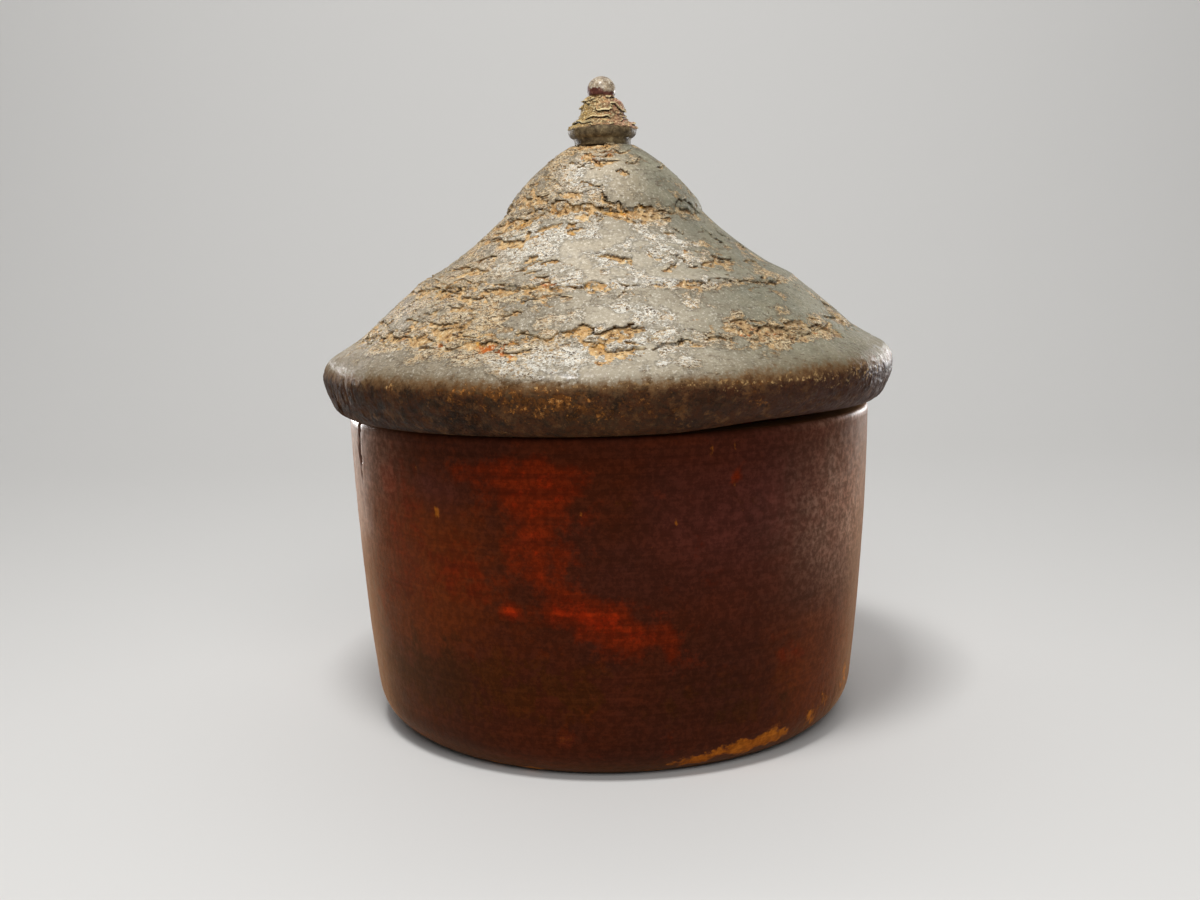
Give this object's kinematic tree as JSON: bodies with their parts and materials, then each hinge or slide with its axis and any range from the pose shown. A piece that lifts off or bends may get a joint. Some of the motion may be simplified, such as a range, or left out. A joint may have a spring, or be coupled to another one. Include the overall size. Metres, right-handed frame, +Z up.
{
  "type": "lidded powder pot",
  "caption": "Turned wooden pot for tika powder, with a lift-off hat-shaped lid, a ridge and flute up to a rounded crown, and a small finial knob to lift it by.",
  "frame": {"origin": "centre of the foot ring, on the table", "axes": "+Z up the turning axis, from the pot's foot to the knob; the pieces are round, so X and Y are free, and the picture looks about along +Y"},
  "size_m": [0.14, 0.14, 0.1566],
  "materials": {
    "pot_wood": "dark red-brown turned wood with a soft worn gloss",
    "lid_wood": "cracked grey-brown crust over orange-stained wood",
    "knob_wood": "handled wood, smooth at the ball, with a flaked crust below it"
  },
  "bodies": {
    "pot": {"pot": "pot_wood"},
    "lid": {"lid": "lid_wood", "knob": "knob_wood"}
  },
  "joints": [
    {"name": "lid_lift", "type": "slide", "parent": "pot", "child": "lid", "axis": [0, 0, 1], "range_m": [0, 0.12]}
  ]
}
